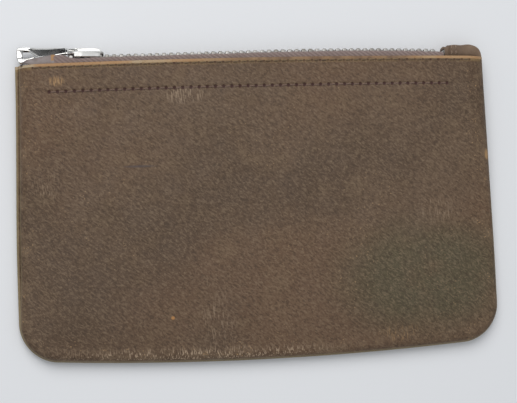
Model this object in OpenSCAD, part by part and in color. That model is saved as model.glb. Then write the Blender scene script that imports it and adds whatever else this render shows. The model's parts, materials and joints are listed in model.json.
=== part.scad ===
// Zippered leather pouch, lying flat on its back panel with the zip closed.
// +X runs along the zip, +Y from the bottom seam to the zip, +Z up through the thickness.
// The origin is on the face that the pouch rests on, in the middle of the panels.

/* [Pouch] */
// Width across the widest part of the panels
pouch_w = 172; // [165:1:185]
// How much narrower the pouch is at its mouth
mouth_taper = 3; // [0:0.5:4]
// Height of a panel at its side seams
panel_h = 102.5; // [98:0.5:120]
// Radius of the two bottom corners
corner_r = 13; // [12:1:20]
// How far the bottom edge bows out in the middle
bottom_bow = 3.5; // [0:0.5:4]
// How far the raw edges at the mouth bow out in the middle
mouth_bow = 1.1; // [0:0.1:1.5]
// Thickness of the leather
leather_t = 1.1; // [0.9:0.1:1.3]

/* [Zip] */
// Distance from one tooth of a row to the next
tooth_pitch = 2.5; // [2.3:0.1:2.8]
// Width of the closed chain, over both rows of teeth
chain_w = 5.8; // [5.4:0.1:6.2]
// How far the slider travels
slider_travel = 121; // [100:1:121]
// Width of the pull at its free end
pull_w = 6.6; // [5.6:0.1:7]
// How far the loose pull is turned about its own length
pull_twist = 48; // [30:1:50]

/* [Stitching] */
// Distance from one stitch to the next
stitch_pitch = 2.9; // [2.5:0.1:4]
// Thickness of the sewing thread
thread_d = 0.5; // [0.4:0.1:0.6]

/* [Hidden] */

gap = 0.1;                // between layers that lie on each other
body_gap = 0.3;           // between the front half and the back half of the pouch
tape_t = 0.5;
lining_t = 0.3;
fold_r = 1;               // outer radius of the tape's fold
fold_room = 0.4;          // from the outer end of a tooth to the tape's fold

// Levels through the thickness
tape_reach = chain_w / 2 + fold_room + tape_t;
zip_z = leather_t + gap + tape_reach;
pouch_t = 2 * zip_z;
bottom_seam_z = 3.2;      // the two panels meet this high along the bottom
body_sag = 0.9;           // the front panel lies this much lower below the mouth

// Places up the panels
mouth_y = 51;
bottom_y = mouth_y - panel_h;
hem_y = mouth_y - 9.3;      // second row of stitches
edge_row_y = mouth_y - 1.5; // first row of stitches
tape_end_y = mouth_y - 11;
lining_top_y = mouth_y - 6;
flat_y = 38;              // above this, both panels are flat and level with the zip
slack_y = -12;            // below this, the pouch is at its slackest
wide_y = -23;             // the panels are at their full width from here down

// The panels' rounded edges
edge_rise = 2;
front_run = 3;
back_run = 5;
mouth_run = 8;
fill_run = 16;

// The zip's chain
chain_y = mouth_y + 2.2;
tooth_t = 2.4;
tooth_w = 1.35;
tooth_head_w = 0.9;
slot_w = 1.2;             // clear way between the rows, for the slider's web

// The slider, closed, with its leading end to the left
slider_x0 = -66.1;
slider_l = 12.6;
slider_x1 = slider_x0 + slider_l;
plate_t = 0.9;
plate_y = chain_y + tooth_t / 2 + 0.2;
inner_plate_y = chain_y - tooth_t / 2 - 0.3;
bridge_y = plate_y + plate_t;
bridge_h = 1.8;
bridge_w = 1.8;
bridge_x0 = slider_x0 + 0.8;
bridge_x1 = slider_x1 - 0.6;
pivot_x = slider_x0 + 2.3;
pivot_y = bridge_y + 0.9;
pivot_r = 0.45;
pivot_hole_r = 0.5;

// Where the teeth, the stops and the tapes begin and end
first_tooth_x = slider_x0 + 1.2;
stop_l = 1.4;
top_stop_x = slider_x0 - 1.7;
bottom_stop_x = slider_x1 + slider_travel + 1.8;
teeth = floor((bottom_stop_x - stop_l - first_tooth_x) / tooth_pitch);
tape_x0 = top_stop_x - 1.3;
tape_x1 = bottom_stop_x - 0.3;

// The pull
pull_t = 1.1;
pull_l = 20;
pull_droop = 4.5;          // degrees that the free end lies nearer to the pouch
neck_l = 4.4;
window_l = 6.4;
window_slant = 3;          // its inner end is this much shorter along one side

// Where the left and right tabs cover the ends of the chain
left_tab_x = slider_x0 - 4;
right_tab_x = bottom_stop_x + 1.7;
tab_end_x = 83.6;

function clamp01(t) = min(1, max(0, t));
function smooth(t) = let(c = clamp01(t)) c * c * (3 - 2 * c);
function mix(a, b, t) = a + (b - a) * t;
function quarter(t) = sqrt(1 - pow(1 - clamp01(t), 2));

// 0 down in the body of the pouch, 1 where the zip is sewn in
function mouth_share(y) = smooth((y - slack_y) / (flat_y - slack_y));
function seam_z(y) = mix(bottom_seam_z, zip_z, mouth_share(y));
function side_half(y) = (pouch_w - mouth_taper * smooth((y - wide_y) / (mouth_y - wide_y))) / 2;

// Half the width of the outline at a height, with the outline moved in by inset
function row_half(y, inset) =
    let(half = side_half(y) - inset, r = corner_r - inset, below = bottom_y + corner_r - y)
    below <= 0 ? half : half - r + sqrt(max(0, r * r - below * below));

// Distance in from the inset outline, rounded at the corners
function from_edge(x, y, inset) =
    let(r = corner_r - inset, qx = abs(x) - (side_half(y) - inset - r), qy = bottom_y + corner_r - y)
    qx > 0 && qy > 0 ? r - norm([qx, qy]) : r - max(qx, qy);

// Height of the front half's surface that lies depth below its outer face
function front_z(x, y, inset, depth) =
    let(m = mouth_share(y), d = from_edge(x, y, inset), seam = seam_z(y) + body_gap / 2,
        top = pouch_t - body_sag * (1 - m) - seam,
        rise = mix(edge_rise, top, m) * quarter(d / mix(front_run, mouth_run, m)),
        fill = (top - mix(edge_rise, top, m)) * (1 - exp(-max(0, d) / fill_run)))
    seam + (rise + fill) * (top - depth) / top;

// Height of the back half's surface that lies depth above its outer face
function back_z(x, y, inset, depth) =
    let(m = mouth_share(y), d = from_edge(x, y, inset), seam = seam_z(y) - body_gap / 2)
    seam - (seam - depth) * quarter(d / mix(back_run, mouth_run, m));

// The bottom edge and the mouth bow out in the middle
function bowed(x, y) =
    let(t = (y - bottom_y) / panel_h, across = 1 - pow(2 * x / pouch_w, 2))
    y + across * (mouth_bow * t * t - bottom_bow * pow(1 - t, 2));

// Grid lines, close together along the rounded edges
side_steps = [0, 0.5, 1.3, 2.6, 4.6, 7.5, 12, 22, 38, 60];
across_steps = concat([for (s = side_steps) 2 * s / pouch_w - 1], [0],
                      [for (k = [len(side_steps) - 1:-1:0]) 1 - 2 * side_steps[k] / pouch_w]);
up_steps = [for (s = [0, 0.5, 1.3, 2.6, 4.6, 7.5, 11, 15, 24, 38, 52, 64, 75, 85, 93, panel_h]) s / panel_h];
cols = len(across_steps);
rows = len(up_steps);

function sheet(front, inset, depth, top_y) =
    [for (v = up_steps) let(y = mix(bottom_y + inset, top_y, v), half = row_half(y, inset))
        for (u = across_steps) let(x = u * half)
            [x, bowed(x, y), front ? front_z(x, y, inset, depth) : back_z(x, y, inset, depth)]];

// A closed solid between an upper and a lower sheet of the same grid
module slab(upper, lower) {
    low = cols * rows;
    cells = [for (j = [0:rows - 2]) for (i = [0:cols - 2])
        let(a = j * cols + i, b = a + 1, c = b + cols, d = a + cols)
            each [[a, d, c], [a, c, b], [low + a, low + b, low + c], [low + a, low + c, low + d]]];
    bottom_edge = [for (i = [0:cols - 2]) [i, i + 1]];
    top_edge = [for (i = [0:cols - 2]) [(rows - 1) * cols + i + 1, (rows - 1) * cols + i]];
    left_edge = [for (j = [0:rows - 2]) [(j + 1) * cols, j * cols]];
    right_edge = [for (j = [0:rows - 2]) [(j + 1) * cols - 1, (j + 2) * cols - 1]];
    walls = [for (e = concat(bottom_edge, top_edge, left_edge, right_edge))
        each [[e[0], e[1], low + e[1]], [e[0], low + e[1], low + e[0]]]];
    polyhedron(points = concat(upper, lower), faces = concat(cells, walls), convexity = 4);
}

module front_panel() {
    color([0.40, 0.34, 0.28])
        slab(sheet(true, 0, 0, mouth_y), sheet(true, leather_t, leather_t, mouth_y));
}

module back_panel() {
    color([0.38, 0.32, 0.27])
        slab(sheet(false, leather_t, leather_t, mouth_y), sheet(false, 0, 0, mouth_y));
}

lining_depth = leather_t + tape_t + 2 * gap;
lining_inset = leather_t + 0.6;

module front_lining() {
    color([0.62, 0.52, 0.38])
        slab(sheet(true, lining_inset, lining_depth, lining_top_y),
             sheet(true, lining_inset + lining_t, lining_depth + lining_t, lining_top_y));
}

module back_lining() {
    color([0.62, 0.52, 0.38])
        slab(sheet(false, lining_inset + lining_t, lining_depth + lining_t, lining_top_y),
             sheet(false, lining_inset, lining_depth, lining_top_y));
}

// Draws an outline given as [y, z] and extends it along X from x0 to x1
module along_x(x0, x1) {
    translate([x0, 0, 0]) rotate([90, 0, 90]) linear_extrude(x1 - x0) children();
}

// Mirrors what is drawn for the front half into the back half
module to_back() {
    translate([0, 0, 2 * zip_z]) mirror([0, 0, 1]) children();
}

// One tape, from the edge that the teeth grip, round its fold and down inside the panel
module zip_tape() {
    out_y = chain_y + tape_t / 2;
    out_z = zip_z + tape_reach;
    inner_r = fold_r - tape_t;
    centre = [out_y - fold_r, out_z - fold_r];
    grip_z = zip_z + slot_w / 2 + 0.5;
    arc_steps = 6;
    outer_arc = [for (k = [0:arc_steps]) centre + fold_r * [cos(90 * k / arc_steps), sin(90 * k / arc_steps)]];
    inner_arc = [for (k = [arc_steps:-1:0]) centre + inner_r * [cos(90 * k / arc_steps), sin(90 * k / arc_steps)]];
    along_x(tape_x0, tape_x1)
        polygon(concat([[out_y, grip_z]], outer_arc, [[tape_end_y, out_z], [tape_end_y, out_z - tape_t]],
                       inner_arc, [[out_y - tape_t, grip_z]]));
}

module front_zip_tape() {
    color([0.45, 0.38, 0.36]) zip_tape();
}

module back_zip_tape() {
    color([0.45, 0.38, 0.36]) to_back() zip_tape();
}

// One tooth: jaws that grip the tape, with a narrower head towards the other row
module tooth() {
    reach = chain_w / 2;
    jaw = reach - slot_w / 2 - 0.8;
    translate([0, chain_y + tooth_t / 2, zip_z]) rotate([90, 0, 0]) linear_extrude(tooth_t)
        polygon([[-tooth_w / 2, reach], [tooth_w / 2, reach], [tooth_w / 2, reach - jaw],
                 [tooth_head_w / 2, reach - jaw], [tooth_head_w / 2, slot_w / 2],
                 [-tooth_head_w / 2, slot_w / 2], [-tooth_head_w / 2, reach - jaw], [-tooth_w / 2, reach - jaw]]);
}

module row_of_teeth(start_x) {
    for (k = [0:teeth - 1])
        translate([start_x + k * tooth_pitch, 0, 0]) tooth();
}

module front_teeth() {
    color([0.62, 0.61, 0.58]) row_of_teeth(first_tooth_x);
}

module back_teeth() {
    color([0.62, 0.61, 0.58]) to_back() row_of_teeth(first_tooth_x + tooth_pitch / 2);
}

module stop_block(x0, low_z) {
    translate([x0, chain_y - tooth_t / 2, low_z])
        cube([stop_l, tooth_t, zip_z + chain_w / 2 - low_z]);
}

module front_top_stop() {
    color([0.62, 0.61, 0.58]) stop_block(top_stop_x, zip_z + slot_w / 2);
}

module back_top_stop() {
    color([0.62, 0.61, 0.58]) to_back() stop_block(top_stop_x, zip_z + slot_w / 2);
}

module bottom_stop() {
    color([0.62, 0.61, 0.58]) stop_block(bottom_stop_x, zip_z - chain_w / 2);
}

// A slider plate: wide at its leading end, narrow at its tail, seen along Y
module slider_plate(low_y, thick, half_lead, half_tail) {
    lead = 1.8;
    tail = 2.5;
    translate([0, low_y + thick, zip_z]) rotate([90, 0, 0]) linear_extrude(thick)
        polygon([[slider_x0, -half_lead + lead], [slider_x0 + lead, -half_lead], [slider_x0 + 5, -half_lead],
                 [slider_x1 - tail, -half_tail], [slider_x1, -half_tail + 1], [slider_x1, half_tail - 1],
                 [slider_x1 - tail, half_tail], [slider_x0 + 5, half_lead], [slider_x0 + lead, half_lead],
                 [slider_x0, half_lead - lead]]);
}

// The bridge: a low arch along X, with the hole that the pull's bar turns in
module slider_bridge() {
    top_r = 1;
    translate([0, 0, zip_z - bridge_w / 2]) difference() {
        linear_extrude(bridge_w)
            polygon(concat([[bridge_x0, bridge_y]],
                [for (a = [180:-15:90]) [bridge_x0 + top_r, bridge_y + bridge_h - top_r] + top_r * [cos(a), sin(a)]],
                [for (a = [90:-15:0]) [bridge_x1 - top_r, bridge_y + bridge_h - top_r] + top_r * [cos(a), sin(a)]],
                [[bridge_x1, bridge_y]]));
        translate([pivot_x, pivot_y, -1]) cylinder(h = bridge_w + 2, r = pivot_hole_r, $fn = 32);
    }
}

module slider_body() {
    web_l = 3;
    web_t = slot_w - 0.3;
    color([0.80, 0.80, 0.80]) union() {
        slider_plate(plate_y, plate_t, 4.4, 3.5);
        slider_plate(inner_plate_y - plate_t, plate_t, 3, 3);
        translate([slider_x0 + 0.9, inner_plate_y - plate_t / 2, zip_z - web_t / 2])
            cube([web_l, plate_y - inner_plate_y + plate_t, web_t]);
        slider_bridge();
    }
}

// The pull's outline at its free end, seen square on: rounded, and wider than at the neck
module pull_outline() {
    end_r = 2.2;
    neck_w = 4.4;
    hull() {
        for (s = [-1, 1])
            translate([pull_l - end_r, s * (pull_w / 2 - end_r)]) circle(end_r, $fn = 32);
        translate([neck_l, -neck_w / 2]) square([1, neck_w]);
    }
}

module pull_window() {
    rim = 1.5;
    r = 1.1;
    hull()
        for (s = [-1, 1]) {
            translate([pull_l - rim - r, s * (pull_w / 2 - rim - r)]) circle(r, $fn = 32);
            translate([pull_l - rim - window_l + r + (s < 0 ? window_slant : 0), s * (pull_w / 2 - rim - r)])
                circle(r, $fn = 32);
        }
}

// The pull: a bar through the bridge's hole, two arms past the bridge, a twisted neck and the plate
module pull_tab() {
    arm_z = bridge_w / 2 + 0.3;
    arm_t = 0.8;
    arm_l = neck_l - 1.4;
    bar_half = arm_z + arm_t;
    color([0.78, 0.78, 0.79])
        translate([pivot_x, pivot_y, zip_z]) {
            cylinder(h = 2 * bar_half, r = pivot_r, center = true, $fn = 32);
            rotate([0, 0, 180 + pull_droop]) {
                for (s = [-1, 1])
                    translate([0, -pivot_r, s > 0 ? arm_z : -arm_z - arm_t])
                        cube([arm_l, 2 * pivot_r, arm_t]);
                hull() {
                    translate([arm_l - 0.1, -pivot_r, -bar_half]) cube([0.2, 2 * pivot_r, 2 * bar_half]);
                    rotate([90 - pull_twist, 0, 0]) translate([neck_l, -2.2, -pull_t / 2]) cube([0.2, 4.4, pull_t]);
                }
                rotate([90 - pull_twist, 0, 0]) translate([0, 0, -pull_t / 2])
                    difference() {
                        linear_extrude(pull_t) pull_outline();
                        translate([0, 0, -1]) linear_extrude(pull_t + 2) pull_window();
                    }
            }
        }
}

tuck_y = mouth_y - 5;
right_tuck_l = 6;
left_tuck_l = 4;
left_tab_t = 0.85;
left_tab_z = pouch_t - leather_t - gap - 0.15 - left_tab_t; // close under the front panel

// A leather tab in the front half, seen from above as an outline over the chain's end
module left_end_tab() {
    color([0.50, 0.44, 0.40])
        translate([0, 0, left_tab_z]) linear_extrude(left_tab_t)
            polygon([[left_tab_x - left_tuck_l, tuck_y], [left_tab_x, tuck_y], [left_tab_x, chain_y + 1],
                     [-tab_end_x, mouth_y + 2.4], [-tab_end_x, mouth_y + 0.3],
                     [left_tab_x - left_tuck_l, mouth_y + 0.3]]);
}

module right_end_tab() {
    top_y = chain_y + 2.6;
    end_r = 3.8;
    centre = [tab_end_x - end_r, top_y - end_r];
    color([0.42, 0.35, 0.28])
        difference() {
            translate([0, 0, zip_z - 2.6]) linear_extrude(5.2)
                polygon(concat([[right_tab_x, tuck_y], [right_tab_x + right_tuck_l, tuck_y],
                                [right_tab_x + right_tuck_l, mouth_y + 0.8], [tab_end_x, mouth_y + 0.8]],
                               [for (a = [0:15:90]) centre + end_r * [cos(a), sin(a)]],
                               [[right_tab_x, top_y]]));
            translate([right_tab_x - 1, tuck_y - 1, zip_z - 1.5])
                cube([tab_end_x - right_tab_x + 2, top_y - tuck_y - 0.2, 3]);
        }
}

stitch_l = 0.72 * stitch_pitch;

// One stitch along X
module stitch() {
    rotate([0, 90, 0]) cylinder(h = stitch_l, d = thread_d, center = true, $fn = 16);
}

// A row of stitches pressed into a panel, at row height y, from x0 to x1
module stitch_row(front, y, x0, x1) {
    count = floor((x1 - x0) / stitch_pitch);
    sink = front ? 0 : thread_d / 2;
    for (k = [0:count]) let(x = x0 + k * stitch_pitch)
        translate([x, bowed(x, y), front ? front_z(x, y, 0, 0) : back_z(x, y, 0, 0) + sink]) stitch();
}

row_half_w = 77;
hem_x0 = -71.4;
hem_x1 = 67.8;

module front_edge_stitching() {
    color([0.30, 0.17, 0.13]) stitch_row(true, edge_row_y, -row_half_w, row_half_w);
}

module back_edge_stitching() {
    color([0.30, 0.17, 0.13]) stitch_row(false, edge_row_y, -row_half_w, row_half_w);
}

module front_hem_stitching() {
    color([0.38, 0.20, 0.15]) stitch_row(true, hem_y, hem_x0, hem_x1);
}

module back_hem_stitching() {
    color([0.38, 0.20, 0.15]) stitch_row(false, hem_y, hem_x0, hem_x1);
}

// Stitches along the turned seam, sunk in the back panel's rim
module seam_thread() {
    inset = leather_t / 2;
    sink = body_gap / 2 + thread_d / 2;
    bottom_half = side_half(bottom_y) - corner_r;
    color([0.30, 0.17, 0.13]) {
        for (s = [-1, 1], y = [bottom_y + corner_r:stitch_pitch:mouth_y - 2])
            translate([s * (side_half(y) - inset), bowed(side_half(y), y), seam_z(y) - sink])
                rotate([90, 0, 0]) cylinder(h = stitch_l, d = thread_d - 0.1, center = true, $fn = 16);
        for (x = [-bottom_half:stitch_pitch:bottom_half])
            translate([x, bowed(x, bottom_y + inset), seam_z(bottom_y) - sink]) stitch();
    }
}

// Tack stitches across the right tab's inner edge
module tab_tack_stitches() {
    color([0.30, 0.17, 0.13])
        for (k = [0:1])
            translate([right_tab_x + 1.2 + 1.6 * k, mouth_y + 2.6, zip_z + 2.6])
                rotate([90, 0, 0]) cylinder(h = stitch_l, d = thread_d, center = true, $fn = 16);
}

front_panel();
back_panel();
front_lining();
back_lining();
front_zip_tape();
back_zip_tape();
front_teeth();
back_teeth();
front_top_stop();
back_top_stop();
bottom_stop();
slider_body();
pull_tab();
left_end_tab();
right_end_tab();
front_edge_stitching();
back_edge_stitching();
front_hem_stitching();
back_hem_stitching();
seam_thread();
tab_tack_stitches();
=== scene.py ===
import json
import math

import bmesh
import bpy
import numpy as np
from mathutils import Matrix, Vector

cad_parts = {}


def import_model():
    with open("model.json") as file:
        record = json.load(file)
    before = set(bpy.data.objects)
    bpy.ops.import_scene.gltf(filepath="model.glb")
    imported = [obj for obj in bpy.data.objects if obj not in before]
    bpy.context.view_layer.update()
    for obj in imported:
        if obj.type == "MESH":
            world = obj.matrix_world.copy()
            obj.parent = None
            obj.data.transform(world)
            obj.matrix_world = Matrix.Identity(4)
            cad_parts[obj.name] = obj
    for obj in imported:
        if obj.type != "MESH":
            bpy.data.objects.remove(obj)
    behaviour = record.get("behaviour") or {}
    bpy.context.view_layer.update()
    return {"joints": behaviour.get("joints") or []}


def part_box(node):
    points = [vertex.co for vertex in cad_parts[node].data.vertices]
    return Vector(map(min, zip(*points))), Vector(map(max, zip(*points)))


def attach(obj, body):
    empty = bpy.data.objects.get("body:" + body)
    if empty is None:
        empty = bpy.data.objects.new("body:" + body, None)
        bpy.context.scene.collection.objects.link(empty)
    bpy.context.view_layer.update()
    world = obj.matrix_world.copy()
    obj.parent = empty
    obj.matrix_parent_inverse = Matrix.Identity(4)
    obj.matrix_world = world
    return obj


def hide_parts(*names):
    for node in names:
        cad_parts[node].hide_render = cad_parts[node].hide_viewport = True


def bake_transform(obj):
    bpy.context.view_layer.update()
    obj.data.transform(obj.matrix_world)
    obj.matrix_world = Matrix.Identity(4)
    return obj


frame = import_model()

# Lengths below are in millimetres, and become metres where a mesh is made.
MM = 0.001


def box_mm(node):
    low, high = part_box(node)
    return np.array(low) / MM, np.array(high) / MM


def joint(name):
    return next(j for j in frame["joints"] if j["name"] == name)


# The pouch, in the same terms as the CAD source
PANEL_LOW, PANEL_HIGH = box_mm("back_panel")
POUCH_W = PANEL_HIGH[0] - PANEL_LOW[0]
POUCH_T = box_mm("front_panel")[1][2]
ZIP_Z = POUCH_T / 2
MOUTH_TAPER = 3.0
CORNER_R = 13.0
BOTTOM_BOW = 3.5
MOUTH_BOW = 1.1
BOTTOM_Y = PANEL_LOW[1] + BOTTOM_BOW
PANEL_H = 102.5
MOUTH_Y = BOTTOM_Y + PANEL_H
LEATHER_T = 1.1
RAW_EDGE_H = 1.1  # how far down the front the raw edge is worn bare
BODY_GAP = 0.3
BOTTOM_SEAM_Z = 3.2
BODY_SAG = 0.9
FLAT_Y, SLACK_Y, WIDE_Y = 38.0, -12.0, -23.0
EDGE_RISE, FRONT_RUN, BACK_RUN, MOUTH_RUN, FILL_RUN = 2.0, 3.0, 5.0, 8.0, 16.0
HEM_Y = MOUTH_Y - 10.0
EDGE_ROW_Y = MOUTH_Y - 1.5
STITCH_PITCH = 2.9
ROW_HALF_W = 77.0
THREAD_LIFT = 0.02
HEM_X = (-71.4, 67.8)
FRONT_INSET = 0.4  # the front panel ends this far inside the outline
SEAM_SHOWN = 0.95  # and this much further in up the left side, where the back panel's rolled edge shows
LINING_INSET, LINING_DEPTH, LINING_T, LINING_DROP = 3.2, 1.9, 0.3, 6.0

# The zip
TEETH_LOW, TEETH_HIGH = box_mm("front_teeth")
CHAIN_Y = (TEETH_LOW[1] + TEETH_HIGH[1]) / 2
TOOTH_PITCH = 2.5
TEETH = 53
TOOTH_T = TEETH_HIGH[1] - TEETH_LOW[1]
TOOTH_W = 1.35
FIRST_TOOTH_X = TEETH_LOW[0] + TOOTH_W / 2
CHAIN_HALF = TEETH_HIGH[2] - ZIP_Z
TAPE_LOW, TAPE_HIGH = box_mm("front_zip_tape")
TAPE_T = 0.5
CHAIN_BOW = 1.2
CHAIN_SKEW = 60.0  # the bow is highest right of the middle: it grows by its own size over this length
SLIDER_LOW, SLIDER_HIGH = box_mm("slider_body")
PIVOT = np.array(joint("pull_swing")["pos_m"]) / MM


# ---------------------------------------------------------------- formulas
def smooth(t):
    t = np.clip(t, 0, 1)
    return t * t * (3 - 2 * t)


def quarter(t):
    return np.sqrt(1 - (1 - np.clip(t, 0, 1)) ** 2)


def mix(a, b, t):
    return a + (b - a) * t


def across(x):
    """1 in the middle of the pouch and 0 at its sides."""
    return 1 - (2 * x / POUCH_W) ** 2


def mouth_share(y):
    return smooth((y - SLACK_Y) / (FLAT_Y - SLACK_Y))


def seam_z(y):
    return mix(BOTTOM_SEAM_Z, ZIP_Z, mouth_share(y))


def side_half(y):
    return (POUCH_W - MOUTH_TAPER * smooth((y - WIDE_Y) / (MOUTH_Y - WIDE_Y))) / 2


def from_edge(x, y):
    """Distance in from the outline, rounded at the bottom corners."""
    qx = np.abs(x) - (side_half(y) - CORNER_R)
    qy = BOTTOM_Y + CORNER_R - y
    corner = CORNER_R - np.hypot(qx, qy)
    return np.where((qx > 0) & (qy > 0), corner, CORNER_R - np.maximum(qx, qy))


def bowed(x, y):
    t = (y - BOTTOM_Y) / PANEL_H
    return y + across(x) * (MOUTH_BOW * t * t - BOTTOM_BOW * (1 - t) ** 2)


def waves(x, y, seed, length, count=14):
    """A smooth random surface between about -1 and 1, the same each time."""
    r = np.random.RandomState(seed)
    total = np.zeros_like(x, float)
    for _ in range(count):
        angle, size, phase = r.uniform(0, math.tau), r.uniform(0.6, 1.7), r.uniform(0, math.tau)
        total += np.sin((x * math.cos(angle) + y * math.sin(angle)) * math.tau / (length * size) + phase)
    return total / math.sqrt(2 * count)


def sag(x, y, d):
    """The soft unevenness of the worn front panel."""
    uneven = 0.32 * waves(x, y, 3, 48) + 0.12 * waves(x, y, 8, 17)
    return uneven * smooth(d / 14) * smooth((MOUTH_Y - y) / 16)


def hem_line(y):
    """The groove that the second row of stitches pulls in, and the hem's extra thickness above it."""
    return -0.12 * np.exp(-((y - HEM_Y) / 0.7) ** 2) + 0.16 * smooth((y - HEM_Y) / 2.5 + 0.5) - 0.16


def front_z(x, y, d, depth):
    m, seam = mouth_share(y), seam_z(y) + BODY_GAP / 2
    top = POUCH_T - BODY_SAG * (1 - m) - seam
    rise = mix(EDGE_RISE, top, m) * quarter(d / mix(FRONT_RUN, MOUTH_RUN, m))
    fill = (top - mix(EDGE_RISE, top, m)) * (1 - np.exp(-np.maximum(0, d) / FILL_RUN))
    return seam + (rise + fill) * (top - depth) / top


def back_z(x, y, d, depth, drop=0.0):
    m, seam = mouth_share(y), seam_z(y) - BODY_GAP / 2 - drop
    return seam - (seam - depth) * quarter(d / mix(BACK_RUN, MOUTH_RUN, m))


def front_surface(x, y):
    """The height of the front panel's outer skin."""
    d = from_edge(x, y) - FRONT_INSET
    return front_z(x, y, d, 0) + sag(x, y, d) + hem_line(y) * smooth(d / 8)


def back_surface(x, y):
    """The height of the back panel's outer skin, which ends under the seam's roll."""
    return back_z(x, y, from_edge(x, y), 0, drop=0.5)


def chain_lift(x):
    """How far the chain bows out from its straight line: nothing where the slider stands at either end."""
    slider_x = (SLIDER_LOW[0] + SLIDER_HIGH[0]) / 2
    return CHAIN_BOW * (across(x) - across(slider_x)) * (1 + x / CHAIN_SKEW)


# ---------------------------------------------------------------- shapes
class Shape:
    """Points in millimetres, faces, and a material number for each face."""

    def __init__(self, points=(), faces=(), finish=None):
        self.points = np.array(points, float).reshape(-1, 3)
        self.faces = [tuple(int(i) for i in f) for f in faces]
        self.finish = list(finish) if finish is not None else [0] * len(self.faces)
        self.flat = None  # for a panel: each point's flat place, and its distance from the outline

    def add(self, other):
        start = len(self.points)
        self.points = np.vstack([self.points, other.points])
        self.faces += [tuple(i + start for i in f) for f in other.faces]
        self.finish += other.finish
        return self

    def moved(self, change):
        return Shape(change(self.points), self.faces, self.finish)

    def half(self, side):
        """The faces left (-1) or right (1) of the middle."""
        keep = [k for k, f in enumerate(self.faces) if side * np.mean(self.points[list(f), 0]) > 0]
        used = sorted({i for k in keep for i in self.faces[k]})
        renumbered = {old: new for new, old in enumerate(used)}
        faces = [[renumbered[i] for i in self.faces[k]] for k in keep]
        made = Shape(self.points[used], faces, [self.finish[k] for k in keep])
        if self.flat is not None:
            made.flat = self.flat[used]
        return made


def tube(sections):
    """A skin over closed sections, with flat ends."""
    count, around = sections.shape[:2]
    faces = []
    for j in range(count - 1):
        for i in range(around):
            a, b = j * around + i, j * around + (i + 1) % around
            faces.append((a, b, b + around, a + around))
    last = (count - 1) * around
    faces += [tuple(range(around))[::-1], tuple(range(last, last + around))]
    return Shape(sections.reshape(-1, 3), faces)


def circle(count):
    """Cosines and sines round a circle."""
    angles = np.linspace(0, math.tau, count, endpoint=False)
    return [(math.cos(a), math.sin(a)) for a in angles]


# Rows of points down from the mouth, close together at the raw edge and at the second row of stitches
MOUTH_STEPS = np.concatenate([
    [0, 0.1, 0.25, 0.42, 0.6, 0.8, 1.05, 1.4, 1.9, 2.6, 3.5, 4.5, 5.5, 6.3, 6.9],
    np.arange(7.3, 10.2, 0.3), [10.6, 11.3], np.linspace(12.2, PANEL_H - CORNER_R, 70)])
CORNER_STEPS = 20
BOTTOM_STEPS = 126


def outline(inset):
    """Points down the left side, round the bottom and up the right side."""
    y = MOUTH_Y - MOUTH_STEPS
    side = np.stack([-(side_half(y) - inset), y], axis=1)
    centre = np.array([-(side_half(BOTTOM_Y + CORNER_R) - CORNER_R), BOTTOM_Y + CORNER_R])
    turn = np.radians(180 + 90 * np.arange(1, CORNER_STEPS) / CORNER_STEPS)
    corner = centre + (CORNER_R - inset) * np.stack([np.cos(turn), np.sin(turn)], axis=1)
    bottom_x = np.linspace(centre[0], -centre[0], BOTTOM_STEPS + 1)
    bottom = np.stack([bottom_x, np.full_like(bottom_x, BOTTOM_Y + inset)], axis=1)
    left = np.vstack([side, corner])
    return np.vstack([left, bottom, (left * [-1, 1])[::-1]])


def plan(insets):
    """Places and faces over a whole panel: rings along its sides and bottom, and a grid inside them."""
    rings = np.array([outline(i) for i in insets])
    count = rings.shape[1]
    down = len(MOUTH_STEPS) + CORNER_STEPS // 2
    inner = rings[-1]
    left, bottom, right = inner[:down], inner[down - 1:count - down + 1], inner[::-1][:down]
    u = np.linspace(0, 1, len(bottom))[None, :, None]
    v = ((left[0, 1] - left[:, 1]) / (left[0, 1] - left[-1, 1]))[:, None, None]
    top = mix(left[0], right[0], u[0])
    corners = mix(mix(left[0], right[0], u), mix(left[-1], right[-1], u), v)
    grid = mix(left[:, None], right[:, None], u) + mix(top[None], bottom[None], v) - corners
    ring_start = (len(insets) - 1) * count
    index = np.full(grid.shape[:2], -1)
    index[:, 0] = ring_start + np.arange(down)
    index[-1] = ring_start + np.arange(down - 1, count - down + 1)
    index[:, -1] = ring_start + count - 1 - np.arange(down)
    inside = index < 0
    index[inside] = rings.shape[0] * count + np.arange(inside.sum())
    places = np.vstack([rings.reshape(-1, 2), grid[inside]])
    faces = [(k * count + n, k * count + n + 1, (k + 1) * count + n + 1, (k + 1) * count + n)
             for k in range(len(insets) - 1) for n in range(count - 1)]
    faces += [(index[j, i], index[j + 1, i], index[j + 1, i + 1], index[j, i + 1])
              for j in range(index.shape[0] - 1) for i in range(index.shape[1] - 1)]
    mouth = ([k * count for k in range(len(insets))] + list(index[0, 1:-1])
             + [k * count + count - 1 for k in reversed(range(len(insets)))])
    rim = list(range(count))
    return places, faces, rim, mouth


def seam_shift(x, y, d):
    """How far the front panel's left edge is drawn in, so that the seam shows there."""
    left = smooth((-x - 70) / 12) * smooth((y - BOTTOM_Y - 8) / 25)
    return SEAM_SHOWN * left * np.exp(-np.maximum(0, d) / 5)


def two_skins(outer, inner, faces, rim, mouth, finish=None, mouth_finish=0):
    """An outer and an inner skin joined along their rim and their mouth, which are rows of point numbers."""
    shape = Shape(outer, faces, finish).add(Shape(inner, [f[::-1] for f in faces]))
    start = len(outer)
    for line, number in ((rim, 0), (mouth, mouth_finish)):
        for a, b in zip(line, line[1:]):
            shape.faces.append((a, b, b + start, a + start))
            shape.finish.append(number)
    return shape


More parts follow.
